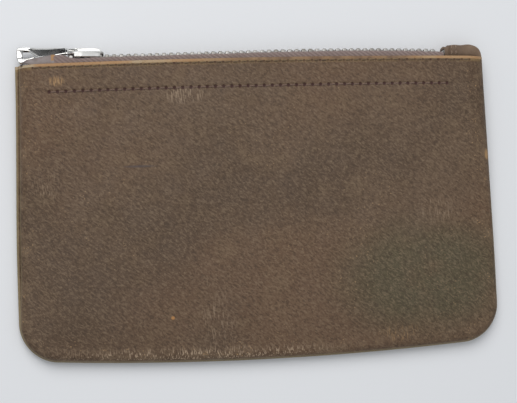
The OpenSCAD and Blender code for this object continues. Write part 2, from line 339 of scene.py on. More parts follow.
def leather_shell(outer_insets, inner_insets, outer_height, inner_height, shift=None):
    """A panel with thickness, its raw leather showing at the mouth."""
    places, faces, rim, mouth = plan(outer_insets)
    inner_places = plan(inner_insets)[0]
    x, y = places.T
    ix, iy = inner_places.T
    outer = np.stack([x, bowed(x, y), outer_height(x, y)], axis=1)
    inner = np.stack([ix, bowed(ix, iy), inner_height(ix, iy)], axis=1)
    if shift:
        outer[:, 0] += shift(x, y, from_edge(x, y))
        inner[:, 0] += shift(ix, iy, from_edge(ix, iy))
    raw = (MOUTH_Y - y) < RAW_EDGE_H
    finish = [int(all(raw[list(f)])) for f in faces]
    shape = two_skins(outer, inner, faces, rim, mouth, finish, mouth_finish=1)
    shape.flat = np.vstack([np.stack([x, y, from_edge(x, y)], 1), np.stack([ix, iy, from_edge(ix, iy)], 1)])
    return shape


def raw_edge_round(y):
    """How far the cut edge at the mouth is worn down from the surface."""
    return 0.75 * (1 - quarter((MOUTH_Y - y) / 0.8))


RING_STEPS = np.array([0, 0.05, 0.18, 0.4, 0.7, 1.1, 1.6, 2.3, 3.2, 4.5, 6.5])


def front_shell():
    def outer(x, y):
        d = from_edge(x, y) - FRONT_INSET
        return front_surface(x, y) - raw_edge_round(y) * smooth(d / 3)

    def inner(x, y):
        d = from_edge(x, y) - FRONT_INSET - LEATHER_T
        return front_z(x, y, d, LEATHER_T) + sag(x, y, d)

    insets = FRONT_INSET + RING_STEPS
    return leather_shell(insets, insets + LEATHER_T, outer, inner, seam_shift)


# The back panel's edge, from where it meets the front panel, over its roll and under:
# how far in from the outline, and how high over the seam
BACK_ROLL = [(1.55, -0.35), (1.15, 0.3), (0.75, 0.42), (0.35, 0.22), (0.08, -0.2), (0, -0.6)]
BACK_UNDER = [0.06, 0.25, 0.6, 1.1, 1.8, 2.8, 4.2, 6, 8]


def back_shell():
    insets = [r[0] for r in BACK_ROLL] + BACK_UNDER
    rolled = len(BACK_ROLL) * len(outline(0))

    def outer(x, y):
        z = back_surface(x, y)
        seam = seam_z(y[:rolled]) - BODY_GAP / 2
        lift = np.repeat([r[1] for r in BACK_ROLL], len(outline(0)))
        z[:rolled] = seam + lift
        return z + raw_edge_round(y) * (z < 1)

    def inner(x, y):
        return back_z(x, y, from_edge(x, y) - LEATHER_T, LEATHER_T)

    return leather_shell(insets, np.linspace(1.9, 8, len(insets)), outer, inner)


def lining(side):
    """A closed thin shell that follows a panel's inside."""
    front = side == "front"
    rings = np.array([0, 0.2, 0.6, 1.2, 2.2, 3.6, 5.5])
    height, inward, seed = (front_z, -1, 21) if front else (back_z, 1, 22)

    def skin(extra):
        places, faces, rim, mouth = plan(LINING_INSET + extra + rings)
        x, y = places.T
        y = y - smooth((y - 20) / (MOUTH_Y - 20)) * LINING_DROP
        d = from_edge(x, y) - LINING_INSET - extra
        z = height(x, y, d, LINING_DEPTH + extra) + (sag(x, y, d) if front else 0)
        ripple = 0.18 * waves(x, y, seed, 13) * smooth(d / 10)
        return np.stack([x, bowed(x, y), z + inward * np.abs(ripple)], 1), faces, rim, mouth

    outer, faces, rim, mouth = skin(0.0)
    inner = skin(LINING_T)[0]
    return two_skins(outer, inner, faces, rim, mouth)


def on_side(side, shape):
    """What is made for the front half, mirrored if it is for the back half."""
    if side == "front":
        return shape
    return shape.moved(lambda p: p * [1, 1, -1] + [0, 0, 2 * ZIP_Z])


def zip_tape():
    """One tape: its corded edge between the teeth, round its fold and down inside the panel."""
    out_y, out_z = TAPE_HIGH[1:]
    fold = 1.0
    grip = ZIP_Z + 0.9
    under_tab = 1.9  # how far it goes on under the left tab, where it rises
    arc = np.radians(np.linspace(0, 90, 9))
    centre = np.array([out_y - fold, out_z - fold])
    outer_arc = centre + fold * np.stack([np.cos(arc), np.sin(arc)], 1)
    inner_arc = centre + (fold - TAPE_T) * np.stack([np.cos(arc), np.sin(arc)], 1)[::-1]
    middle = out_y - TAPE_T / 2
    bead = [(middle - 0.55, grip + 0.6), (middle - 0.62, grip + 0.25), (middle - 0.35, grip - 0.1),
            (middle + 0.35, grip - 0.1), (middle + 0.62, grip + 0.25), (middle + 0.55, grip + 0.6),
            (out_y, grip + 1.0)]
    down = [(y, out_z) for y in (MOUTH_Y - 1, MOUTH_Y - 5, TAPE_LOW[1])]
    up = [(y, z - TAPE_T) for y, z in reversed(down)]
    section = np.vstack([bead, outer_arc, down, up, inner_arc, [(out_y - TAPE_T, grip + 1.0)]])
    x = np.linspace(TAPE_LOW[0] - under_tab, TAPE_HIGH[0], 240)
    ripple = 0.07 * waves(x, x * 0, 31, 9) + 0.95 * smooth((-65 - x) / 3)
    sections = [[(xi, y + lift + r * (y > MOUTH_Y - 0.5), z + 0.4 * r) for y, z in section]
                for xi, lift, r in zip(x, chain_lift(x), ripple)]
    return tube(np.array(sections))


def prism(outline2d, low, high, bevel):
    """An outline given as [x, z], drawn from y = low to y = high with bevelled ends."""
    points = np.array(outline2d, float)
    ahead, behind = np.roll(points, -1, 0) - points, points - np.roll(points, 1, 0)
    normal = np.stack([ahead[:, 1], -ahead[:, 0]], 1) / np.linalg.norm(ahead, axis=1)[:, None]
    normal_b = np.stack([behind[:, 1], -behind[:, 0]], 1) / np.linalg.norm(behind, axis=1)[:, None]
    out = normal + normal_b
    out = out / np.maximum(0.6, (out * normal).sum(1))[:, None]
    area = np.sum(points[:, 0] * np.roll(points[:, 1], -1) - points[:, 1] * np.roll(points[:, 0], -1))
    small = points - out * bevel * (1 if area > 0 else -1)
    levels = [(small, low), (points, low + bevel), (points, high - bevel), (small, high)]
    return tube(np.array([[(x, y, z) for x, z in ring] for ring, y in levels]))


def rounded(corners, radius, steps=4):
    """Rounds the corners of an outline; radius is one number or one for each corner."""
    corners = [np.array(c, float) for c in corners]
    found = []
    for k, (c, r) in enumerate(zip(corners, np.broadcast_to(radius, len(corners)))):
        a, b = corners[k - 1] - c, corners[(k + 1) % len(corners)] - c
        reach = min(r, 0.49 * np.linalg.norm(a), 0.49 * np.linalg.norm(b))
        start, end = c + a / np.linalg.norm(a) * reach, c + b / np.linalg.norm(b) * reach
        for t in np.linspace(0, 1, steps + 1):
            found.append((1 - t) ** 2 * start + 2 * t * (1 - t) * c + t * t * end)
    return found


def tooth():
    """A tooth of the front row at x = 0: jaws round the tape's cord, a neck and a head."""
    one_side = [(0.5, CHAIN_HALF), (0.72, CHAIN_HALF - 0.1), (0.72, 1.0), (0.36, 0.75), (0.36, 0.35),
                (0.56, 0.1), (0.5, -0.5)]
    other_side = [(-x, z) for x, z in reversed(one_side)]
    corners = other_side[-2:] + one_side + other_side[:-2]
    outline2d = [(x, z + ZIP_Z) for x, z in rounded(corners, 0.16, 2)]
    return prism(outline2d, CHAIN_Y - TOOTH_T / 2, CHAIN_Y + TOOTH_T / 2, 0.28)


def teeth_row(shift):
    row, one = Shape(), tooth()
    for k in range(TEETH):
        x = FIRST_TOOTH_X + shift + k * TOOTH_PITCH
        row.add(Shape(one.points + [x, chain_lift(x), 0], one.faces))
    return row


def stop(node):
    low, high = box_mm(node)
    corners = [(low[0], low[2]), (high[0], low[2]), (high[0], high[2]), (low[0], high[2])]
    lift = float(chain_lift((low[0] + high[0]) / 2))
    return prism(rounded(corners, 0.4, 3), low[1], high[1], 0.3).moved(lambda p: p + [0, lift, 0])


def filled(outlines, thick, bevel):
    """A flat plate round z = 0 with bevelled edges; outlines after the first are its holes."""
    curve = bpy.data.curves.new("outline", "CURVE")
    curve.dimensions = "2D"
    curve.fill_mode = "BOTH"
    curve.extrude = (thick / 2 - bevel) * MM
    curve.bevel_depth = bevel * MM
    curve.bevel_resolution = 2
    curve.offset = -bevel * MM
    for points in outlines:
        spline = curve.splines.new("POLY")
        spline.points.add(len(points) - 1)
        for p, (x, y) in zip(spline.points, points):
            p.co = (x * MM, y * MM, 0, 1)
        spline.use_cyclic_u = True
    made = bpy.data.objects.new("outline", curve)
    mesh = bpy.data.meshes.new_from_object(made)
    work = bmesh.new()
    work.from_mesh(mesh)
    bmesh.ops.remove_doubles(work, verts=work.verts, dist=0.002 * MM)
    work.verts.index_update()
    points = [np.array(v.co) / MM for v in work.verts]
    shape = Shape(points, [[v.index for v in f.verts] for f in work.faces])
    work.free()
    bpy.data.meshes.remove(mesh)
    bpy.data.curves.remove(curve)
    return shape


def slider():
    x0, x1 = SLIDER_LOW[0], SLIDER_HIGH[0]
    plate_y = CHAIN_Y + TOOTH_T / 2 + 0.2
    plate_t = 0.9

    def plate_outline(lead, tail):
        one_side = [(x1, tail - 1), (x1 - 2.5, tail), (x0 + 5, lead), (x0 + 1.8, lead), (x0, lead - 1.8)]
        other_side = [(x, -z) for x, z in reversed(one_side)]
        return [(x, z + ZIP_Z) for x, z in rounded(other_side + one_side, 1.0)]

    shape = prism(plate_outline(4.4, 3.5), plate_y, plate_y + plate_t, 0.22)
    inner_y = CHAIN_Y - TOOTH_T / 2 - 0.3 - plate_t
    shape.add(prism(plate_outline(3, 3), inner_y, inner_y + plate_t, 0.2))
    for s in (-1, 1):  # the flanges that keep the chain in
        flange = [(x0 + 2.2, 3.72), (x0 + 5, 3.72), (x1 - 2.3, 2.95), (x1 - 1.2, 2.9), (x1 - 1.2, 3.3),
                  (x1 - 2.5, 3.5), (x0 + 5, 4.38), (x0 + 2.2, 4.38)]
        flange = [(x, ZIP_Z + s * z) for x, z in rounded(flange, 0.3, 2)]
        shape.add(prism(flange, plate_y - 1.05, plate_y + 0.3, 0.15))
    shape.add(slider_bridge(plate_y + plate_t))
    return shape


def slider_bridge(base_y):
    """The arch over the slider, with the eye that the pull's bar sits in."""
    x0, x1, top = SLIDER_LOW[0] + 0.5, SLIDER_HIGH[0] - 0.5, SLIDER_HIGH[1] - 0.25
    arch = rounded([(x0, base_y - 0.3), (x0 + 0.2, base_y + 0.5), (x0 + 1.4, top - 0.1), (x0 + 2.6, top),
                    (x1 - 2.2, top), (x1 - 0.5, top - 0.5), (x1, base_y - 0.3)], 0.9, 5)
    eye = rounded([(PIVOT[0] - 0.75, PIVOT[1] - 0.62), (PIVOT[0] + 1.0, PIVOT[1] - 0.62),
                   (PIVOT[0] + 1.0, PIVOT[1] + 0.42), (PIVOT[0] - 0.5, PIVOT[1] + 0.42)], 0.5, 4)
    shape = filled([arch, eye], 2.2, 0.3)
    return shape.moved(lambda p: p + [0, 0, ZIP_Z])


PULL_L, PULL_T, PULL_HALF, NECK_HALF = 20.0, 1.1, 3.3, 1.4
PULL_TWIST = math.radians(38)  # the plate's lean from flat
END_TWIST = math.radians(22)  # and the lean of its far end
PULL_DROOP = math.radians(4.5)


def turned(width, thick, angle):
    """A point given across the pull's width and thickness, as [y, z]."""
    c, s = math.cos(angle), math.sin(angle)
    return np.array([width * c - thick * s, width * s + thick * c])


def pull():
    """The bar, two arms that join into a twisted neck, and the plate with its window."""
    neck_l = 2.8
    plate_outline = rounded([(neck_l, NECK_HALF), (neck_l, -NECK_HALF), (PULL_L - 4.5, -PULL_HALF),
                             (PULL_L, -PULL_HALF), (PULL_L, PULL_HALF), (PULL_L - 4.5, PULL_HALF)],
                            [0.3, 0.3, 2, 2.4, 2.4, 2], 6)
    end_rim, window_l, slant = 2.2, 5.7, 3.5
    far, near = PULL_L - end_rim, PULL_L - end_rim - window_l
    window = rounded([(near + slant, -1.9), (far, -1.9), (far, 1.9), (near, 1.9)], 1.2, 6)
    made = filled([plate_outline, window], PULL_T, 0.25)
    lean = mix(PULL_TWIST, END_TWIST, smooth((made.points[:, 0] - far + 1) / 1.5))
    made.points = np.array([[p[0], *turned(p[1], p[2], a)] for p, a in zip(made.points, lean)])
    made.add(pull_neck(neck_l))
    for side in (-1, 1):  # the arms, either side of the bridge
        made.add(pull_arm(side))
    bar_r = 0.42
    bar = [[(bar_r * c, bar_r * s, z) for c, s in circle(16)] for z in (-1.6, 1.6)]
    made.add(tube(np.array(bar)))
    c, s = math.cos(math.pi + PULL_DROOP), math.sin(math.pi + PULL_DROOP)

    def in_place(p):
        return np.stack([p[:, 0] * c - p[:, 1] * s, p[:, 0] * s + p[:, 1] * c, p[:, 2]], 1) + PIVOT
    return made.moved(in_place)


def pull_neck(length):
    """Where the two arms join and turn into the plate."""
    sections = []
    for t in np.linspace(0, 1, 12):
        along = mix(1.65, length + 0.5, t)
        angle = mix(math.pi / 2, PULL_TWIST, smooth(2.2 * t))
        half = mix(2.0, NECK_HALF + 0.1, smooth(2.2 * t))
        thick = mix(0.46, PULL_T / 2 - 0.02, t)
        ring = []
        for c, s in circle(24):
            across_it = half * math.copysign(abs(c) ** 0.35, c)
            through_it = thick * math.copysign(abs(s) ** 0.5, s)
            ring.append((along, *turned(across_it, through_it, angle)))
        sections.append(ring)
    return tube(np.array(sections))


def pull_arm(side):
    """One of the two arms from the bar to the neck."""
    half_w, half_t, apart = 0.5, 0.34, 1.66
    corners = [(-half_w, -half_t), (half_w, -half_t), (half_w, half_t), (-half_w, half_t)]
    section = [turned(y, z, PULL_TWIST) for y, z in rounded(corners, 0.16, 3)]
    sections = []
    for along, size in ((-0.45, 0.6), (-0.25, 1.0), (1.5, 1.0), (1.95, 1.0)):
        sections.append([(along, y * size, side * apart + z * size) for y, z in section])
    return tube(np.array(sections))


def left_tab():
    """The folded leather at the closed end: a curled strip over the chain, with its raw end to the right."""
    high_z = box_mm("left_end_tab")[1][2]
    start, end = -82.4, SLIDER_LOW[0] - 4.0
    thick, rounding = 0.95, 0.9
    x = np.concatenate([np.linspace(start, end - 1, 30), end - 1 + np.sin(np.radians([20, 45, 68, 86]))])
    top_y = MOUTH_Y + np.interp(x, [start, -81.6, -80.4, -76, -72, end], [0.1, 1.0, 1.9, 2.8, 3.45, 3.65])
    sections = []
    for xi, top in zip(x, top_y):
        over = max(0.0, xi - (end - 1))
        corner = 1 - math.sqrt(max(0, 1 - over ** 2))
        z = high_z + 0.5 * smooth((xi - end + 3) / 2) - 0.5 * corner
        foot = tab_foot(xi) + rounding * corner
        top -= rounding * corner
        section = [(foot, 0), (mix(foot, top, 0.64), 0.05), (top - 0.7, 0), (top - 0.3, -0.12),
                   (top - 0.05, -0.4), (top, -0.7), (top - 0.3, -thick), (top - 0.7, -thick),
                   (mix(foot, top, 0.4), -thick), (foot, -thick)]
        sections.append([(xi, y, z + above) for y, above in section])
    shape = tube(np.array(sections))
    raw_corner = [end - 1.9, MOUTH_Y + 0.7]
    shape.finish = [int(all(shape.points[list(f), :2].min(0) > raw_corner)) for f in shape.faces]
    return shape


def tab_foot(x):
    """Where the tab goes in under the front panel: it stays clear of the panel's rounded side."""
    return MOUTH_Y + mix(0.4, -2.5, smooth((x + 80) / 3))


def right_tab():
    """The folded leather round the open end: over the chain, with a rounded outer end."""
    low, high = box_mm("right_end_tab")
    lip, lip_drop, lip_flare = 1.5, 0.7, 0.45
    radius, half_t, thick = 3.8, 2.9, 1.0
    x = np.concatenate([
        low[0] - lip + np.array([0, 0.2, 0.5, 0.8]),
        low[0] + np.array([0, 0.2, 0.4]),
        np.linspace(low[0] + 0.8, high[0] - radius, 12),
        high[0] - radius + radius * np.sin(np.radians(np.linspace(12, 86, 8)))])
    foot = MOUTH_Y - 1.5
    sections = []
    for xi in x:
        over = max(0.0, xi - (high[0] - radius))
        top = high[1] - radius + math.sqrt(max(0, radius ** 2 - over ** 2)) + 0.12 * math.sin(xi * 1.3)
        top -= lip_drop * smooth((low[0] + 0.2 - xi) / 0.5)
        half = half_t - smooth((xi - high[0] + 4) / 4) + lip_flare * smooth((low[0] + 0.5 - xi) / 0.6)
        bend = min(1.7, top - foot - 0.2)
        outer = folded(foot, top - bend, bend, half, half - 0.1)
        inner = folded(foot, top - bend, bend - thick, max(0.2, half - thick), half - 0.1 - thick)
        sections.append([(xi, y, ZIP_Z + z) for y, z in outer + inner[::-1]])
    return tube(np.array(sections))


def folded(foot, spring_y, rise, half, foot_half):
    """A line of [y, z] up one side, over a rounded fold and down the other side."""
    line = [(foot, foot_half)]
    for a in np.linspace(0, math.pi, 19):
        side = math.copysign(abs(math.cos(a)) ** 0.75, math.cos(a))
        line.append((spring_y + rise * math.sin(a) ** 0.8, half * side))
    return line + [(foot, -foot_half)]


def stitch(start, end, diameter, bulge, up):
    """One stitch from hole to hole: it dips at both ends and lies proud in the middle."""
    start, end = np.array(start, float), np.array(end, float)
    along = (end - start) / np.linalg.norm(end - start)
    side = np.cross(along, up)
    rings = []
    for t in np.linspace(0, 1, 9):
        lift = bulge * math.sin(math.pi * t) - 0.45 * (abs(2 * t - 1) ** 5)
        size = diameter / 2 * (0.55 + 0.45 * math.sin(math.pi * min(1, max(0, 0.12 + 0.76 * t))))
        centre = mix(start, end, t) + lift * np.array(up)
        rings.append([centre + size * (c * side + 0.75 * s * np.array(up)) for c, s in circle(8)])
    return tube(np.array(rings))


def stitch_row(side, y, x0, x1, diameter, seed):
    r = np.random.RandomState(seed)
    row = Shape()
    surface, up = (front_surface, (0, 0, 1)) if side == "front" else (back_surface, (0, 0, -1))
    for k in range(int((x1 - x0) / STITCH_PITCH) + 1):
        ends = []
        for end in (-1, 1):
            px = x0 + (k + 0.42 * end) * STITCH_PITCH
            py = y + end * r.uniform(0.03, 0.13)
            pz = surface(np.array([px]), np.array([py]))[0]
            ends.append((px, bowed(px, py), pz + THREAD_LIFT * up[2]))
        row.add(stitch(*ends, diameter * r.uniform(0.9, 1.1), r.uniform(0.04, 0.12), up))
    return row


def seam_stitches():
    """The thread along the turned seam, in the crease between the panels."""
    row = Shape()
    places = outline(FRONT_INSET + SEAM_SHOWN - 0.15)
    spaced = [0]
    for k in range(1, len(places)):
        if np.linalg.norm(places[k] - places[spaced[-1]]) >= STITCH_PITCH:
            spaced.append(k)
    for a, b in zip(spaced, spaced[1:]):
        ends = []
        for t in (0.14, 0.86):
            x, y = mix(places[a], places[b], t)
            ends.append((x, bowed(x, y), float(seam_z(y)) + THREAD_LIFT))
        row.add(stitch(*ends, 0.4, 0.03, (0, 0, 1)))
    return row


def tack_stitches():
    """Two short upright rows through the right tab."""
    tab_x = box_mm("right_end_tab")[0][0]
    length, z = 1.6, ZIP_Z + 2.92
    row = Shape()
    for x in (tab_x + 1.1, tab_x + 2.7):
        for y in (MOUTH_Y + 0.9, MOUTH_Y + 2.9):
            row.add(stitch((x, y, z), (x + 0.1, y + length, z), 0.45, 0.12, (0, 0, 1)))
    return row


# ---------------------------------------------------------------- materials
class Finish:
    """A material and the few kinds of node that it is built from."""

    def __init__(self, name, **settings):
        self.material = bpy.data.materials.new(name)
        self.material.use_nodes = True
        self.tree = self.material.node_tree
        self.shader = next(n for n in self.tree.nodes if n.type == "BSDF_PRINCIPLED")
        self.fill(self.shader, settings)
        self.place = self.attribute("rest")
        self.flat = self.attribute("flat")

    def put(self, node, index, value):
        """Links a node's output to an input of another, or sets that input to a number or a colour."""
        if isinstance(value, bpy.types.NodeSocket):
            self.tree.links.new(value, node.inputs[index])
        else:
            node.inputs[index].default_value = value

    def fill(self, node, settings):
        for key, value in settings.items():
            self.put(node, key.replace("_", " "), value)

    def node(self, kind, **settings):
        """A new node with the inputs that are named, a space in a name written as a low line."""
        made = self.tree.nodes.new("ShaderNode" + kind)
        self.fill(made, settings)
        return made

    def attribute(self, name):
        node = self.node("Attribute")
        node.attribute_name = name
        return node.outputs["Vector"]

    def turned(self, degrees, stretch):
        """The resting place for a pattern that is turned, then drawn out along its own axes."""
        node = self.node("Mapping", Vector=self.place, Rotation=(0, 0, math.radians(degrees)), Scale=stretch)
        node.vector_type = "TEXTURE"
        return node.outputs[0]

    def noise(self, size, detail=3.0, rough=0.5, place=None, distortion=0.0):
        """Noise whose blobs are about size millimetres across."""
        node = self.node("TexNoise", Vector=place or self.place, Scale=0.5 / (size * MM),
                         Detail=detail, Roughness=rough, Distortion=distortion)
        return node.outputs["Fac"]

    def cells(self, size):
        return self.node("TexVoronoi", Vector=self.place, Scale=1 / (size * MM)).outputs["Distance"]

    def bands(self, size, degrees, distortion):
        """Lines size millimetres apart, turned by degrees."""
        node = self.node("TexWave", Vector=self.turned(degrees, (1, 1, 1)), Scale=0.314 / (size * MM),
                         Distortion=distortion, Detail=1, Detail_Scale=2)
        node.wave_type = "BANDS"
        return node.outputs["Fac"]

    def two(self, kind, operation, a, b):
        """A node for one operation on two values."""
        node = self.node(kind)
        node.operation = operation
        self.put(node, 0, a)
        self.put(node, 1, b)
        return node

    def math(self, operation, a, b):
        return self.two("Math", operation, a, b).outputs[0]

    def times(self, a, b):
        """Two shares multiplied, and kept between 0 and 1."""
        node = self.two("Math", "MULTIPLY", a, b)
        node.use_clamp = True
        return node.outputs[0]

    def ramp(self, value, low, high, to_low=0.0, to_high=1.0):
        node = self.node("MapRange", Value=value, From_Min=low, From_Max=high, To_Min=to_low, To_Max=to_high)
        node.interpolation_type = "SMOOTHSTEP"
        return node.outputs[0]

    def blend(self, share, a, b):
        """Colour a where share is 0 and colour b where it is 1."""
        node = self.node("Mix")
        node.data_type = "RGBA"
        colours = [k for k, s in enumerate(node.inputs) if s.type == "RGBA"]
        self.put(node, 0, share)
        for index, colour in zip(colours, (a, b)):
            self.put(node, index, (*colour, 1) if isinstance(colour, tuple) else colour)
        return next(s for s in node.outputs if s.type == "RGBA")

    def spot(self, x, y, half_w, half_h):
        """1 at a place on the panel, given in millimetres, falling to 0 at its edges."""
        away = self.two("VectorMath", "SUBTRACT", self.flat, (x, y, 0)).outputs[0]
        away = self.two("VectorMath", "MULTIPLY", away, (1 / half_w, 1 / half_h, 0)).outputs[0]
        length = self.two("VectorMath", "LENGTH", away, (0, 0, 0)).outputs["Value"]
        return self.ramp(length, 0.35, 1.0, 1.0, 0.0)

    def axis(self, source, letter):
        return self.node("SeparateXYZ", Vector=source).outputs[letter]

    def bump(self, height, depth_mm, strength):
        return self.node("Bump", Strength=strength, Distance=depth_mm * MM, Height=height).outputs[0]

    def finish(self, colour, roughness=None, normal=None):
        for key, value in (("Base Color", colour), ("Roughness", roughness), ("Normal", normal)):
            if value is not None:
                self.put(self.shader, key, value)
        return self.material


LEATHER_DEEP = (0.055, 0.034, 0.020)
LEATHER_DARK = (0.100, 0.062, 0.037)
LEATHER_MID = (0.131, 0.083, 0.050)
LEATHER_WARM = (0.138, 0.076, 0.042)
LEATHER_GREEN = (0.086, 0.073, 0.039)
LEATHER_PALE = (0.250, 0.178, 0.112)
TAN = (0.48, 0.29, 0.13)
ORANGE = (0.50, 0.24, 0.08)
RAW_PALE = (0.44, 0.35, 0.23)
RAW_DULL = (0.165, 0.100, 0.060)
CREAM = (0.46, 0.34, 0.23)
# Painted highlight colour for the thin line along the outline
RIM_HIGHLIGHT_OLIVE = (0.36, 0.29, 0.15)
OCHRE = (0.27, 0.175, 0.075)
# Painted shade for the inside of the stitch holes
HOLE_SHADE = (0.05, 0.018, 0.013)
INK = (0.085, 0.065, 0.06)


def leather(name):
    f = Finish(name, Roughness=0.62, Specular_IOR_Level=0.35)
    x, y, rim = (f.axis(f.flat, a) for a in "XYZ")
    mottle = f.noise(5, 4, 0.6)
    creases = f.noise(0.31, 2, 0.55, place=f.turned(52, (1.0, 2.4, 1.0)), distortion=0.6)
    grain = f.noise(0.30, 2, 0.6)
    warm = f.noise(38, 3, 0.5, place=f.turned(0, (1.4, 1.0, 1.0)))
    green = f.times(f.spot(60, -27, 44, 27), f.ramp(f.noise(14, 3, 0.5), 0.3, 0.6))
    colour = f.blend(f.ramp(f.noise(24, 4, 0.55), 0.36, 0.62), LEATHER_DARK, LEATHER_MID)
    colour = f.blend(f.ramp(warm, 0.42, 0.62, 0, 0.6), colour, LEATHER_WARM)
    colour = f.blend(f.ramp(mottle, 0.52, 0.74, 0, 0.25), colour, LEATHER_PALE)
    colour = f.blend(f.times(green, 0.9), colour, LEATHER_GREEN)
    colour = f.blend(f.ramp(creases, 0.48, 0.72, 0, 0.46), colour, LEATHER_PALE)
    colour = f.blend(f.ramp(creases, 0.52, 0.30, 0, 0.60), colour, LEATHER_DEEP)
    colour = f.blend(f.ramp(grain, 0.54, 0.74, 0, 0.45), colour, LEATHER_PALE)
    height = f.math("ADD", creases, f.math("MULTIPLY", grain, 0.35))
    height = f.math("ADD", height, f.math("MULTIPLY", f.noise(3.2, 3, 0.55), 0.9))
    colour = wear_and_rim_highlight(f, colour, y, rim)
    colour, height = stitch_holes(f, colour, height, x, y)
    return f.finish(colour, f.ramp(mottle, 0.35, 0.7, 0.56, 0.74), f.bump(height, 0.15, 0.75))


# Worn places: x and y of the middle, half width and half height in millimetres, and what shows there.
# Strokes also have the noise level where they begin, and how strong they are.
WORN_STROKES = [((-25.7, 38.6), (10, 4), 0.50, 0.42, CREAM), ((-70.4, 44.6), (3.6, 2.4), 0.46, 0.6, TAN),
                ((-75, 9), (7, 8), 0.55, 0.28, CREAM), ((-17, -38), (9, 12), 0.56, 0.28, CREAM),
                ((64, -4), (10, 6), 0.56, 0.28, CREAM), ((48, -46), (11, 4), 0.54, 0.25, TAN)]
WORN_SPOTS = [((-32.8, -36.6), (0.9, 0.8), ORANGE), ((83.6, 15.3), (1.2, 2.6), TAN),
              ((-42.5, 14.5), (7.5, 0.55), INK)]


def wear_and_rim_highlight(f, colour, y, rim):
    """Rubbed edges, specks and scratches, where the real one has them, and a painted highlight along the
    outline.
    """
    fine = f.noise(0.3, 2, 0.6)
    stroke = f.noise(0.20, 1.5, 0.5, place=f.turned(3, (1.0, 9.0, 1.0)))
    patchy = f.noise(3.0, 4, 0.65)
    rubbed = f.times(f.ramp(rim, 6.5, 1.4), f.ramp(patchy, 0.46, 0.62))
    colour = f.blend(f.times(rubbed, 0.30), colour, LEATHER_PALE)
    specks = f.times(f.ramp(fine, 0.62, 0.70), f.ramp(patchy, 0.50, 0.62))
    by_rim = f.times(specks, f.ramp(rim, 12, 2.5))
    colour = f.blend(f.times(by_rim, 0.8), colour, TAN)
    all_over = f.times(f.ramp(fine, 0.66, 0.74), f.ramp(f.noise(12, 3, 0.6), 0.52, 0.66))
    colour = f.blend(f.times(all_over, 0.55), colour, TAN)
    near_rim = f.times(f.ramp(rim, 6.0, 2.8), f.ramp(rim, 0.5, 1.4))
    along_bottom = f.times(f.spot(-24, BOTTOM_Y, 70, 10), f.ramp(stroke, 0.54, 0.64))
    colour = f.blend(f.times(f.times(near_rim, along_bottom), 0.8), colour, CREAM)
    for place, size, low, share, tint in WORN_STROKES:
        found = f.times(f.spot(*place, *size), f.ramp(stroke, low, low + 0.09))
        colour = f.blend(f.times(found, share), colour, tint)
    scratch = f.times(f.spot(-20.4, -32, 0.45, 15), f.ramp(f.noise(1.2, 2), 0.42, 0.55))
    colour = f.blend(f.times(scratch, 0.4), colour, LEATHER_PALE)
    for place, size, tint in WORN_SPOTS:
        colour = f.blend(f.times(f.spot(*place, *size), 0.8), colour, tint)
    near_mouth = f.times(f.ramp(y, MOUTH_Y - 2.6, MOUTH_Y - 1.2), f.ramp(patchy, 0.30, 0.55))
    colour = f.blend(f.times(near_mouth, 0.75), colour, OCHRE)
    # A thin olive line within a millimetre of the outline is painted highlight, standing in for light caught
    # on the rounded edge.
    return f.blend(f.ramp(rim, 1.0, 0.3, 0, 0.55), colour, RIM_HIGHLIGHT_OLIVE)


# Both rows of stitch holes: height, ends, radius of a hole and how dark its painted shade is
HOLE_ROWS = [(EDGE_ROW_Y, -ROW_HALF_W, ROW_HALF_W, 0.55, 0.7), (HEM_Y, *HEM_X, 0.85, 1.0)]


def stitch_holes(f, colour, height, x, y):
    """The holes that the thread goes through, in both rows, darkened with painted shade."""
    for row_y, x0, x1, radius, depth in HOLE_ROWS:
        step = f.math("MODULO", f.math("ADD", x, STITCH_PITCH - x0), STITCH_PITCH)
        beside = f.math("POWER", f.math("SUBTRACT", step, STITCH_PITCH / 2), 2)
        above = f.math("POWER", f.math("SUBTRACT", y, row_y), 2)
        apart = f.math("POWER", f.math("ADD", beside, above), 0.5)
        within = f.times(f.ramp(x, x0 - 2.2, x0 - 1.8), f.ramp(x, x1 + 2.2, x1 + 1.8))
        hole = f.times(f.ramp(apart, radius, radius * 0.45), within)
        # The near-black blend is painted shade inside each hole.
        colour = f.blend(f.times(hole, depth), colour, HOLE_SHADE)
        height = f.math("SUBTRACT", height, f.math("MULTIPLY", hole, 1.5))
    return colour, height


def raw_leather(name, light, deep):
    f = Finish(name, Roughness=0.8)
    fibre = f.noise(0.35, 3, 0.6)
    x = f.axis(f.place, "X")
    faded = f.blend(f.ramp(x, -60 * MM, -15 * MM), RAW_PALE, light)
    colour = f.blend(f.ramp(f.noise(7, 3, 0.6), 0.4, 0.62), faded, deep)
    middle = f.math("MULTIPLY", f.ramp(x, -35 * MM, 12 * MM), f.ramp(x, 66 * MM, 48 * MM))
    dull = f.math("MULTIPLY", middle, f.ramp(f.noise(2.2, 3, 0.6), 0.38, 0.60, 0.6, 1.0))
    colour = f.blend(dull, colour, RAW_DULL)
    colour = f.blend(f.ramp(fibre, 0.55, 0.75, 0, 0.6), colour, (0.22, 0.12, 0.05))
    return f.finish(colour, f.ramp(fibre, 0.3, 0.7, 0.7, 0.95), f.bump(fibre, 0.12, 0.8))


def tab_leather(name, light, dark):
    f = Finish(name, Roughness=0.65)
    grain = f.noise(0.7, 3, 0.6)
    colour = f.blend(f.ramp(f.noise(4, 3, 0.6), 0.38, 0.64), light, dark)
    colour = f.blend(f.ramp(grain, 0.55, 0.75, 0, 0.5), colour, LEATHER_PALE)
    height = f.math("ADD", f.math("MULTIPLY", f.cells(1.1), 0.6), grain)
    return f.finish(colour, f.ramp(grain, 0.3, 0.7, 0.55, 0.8), f.bump(height, 0.14, 0.7))


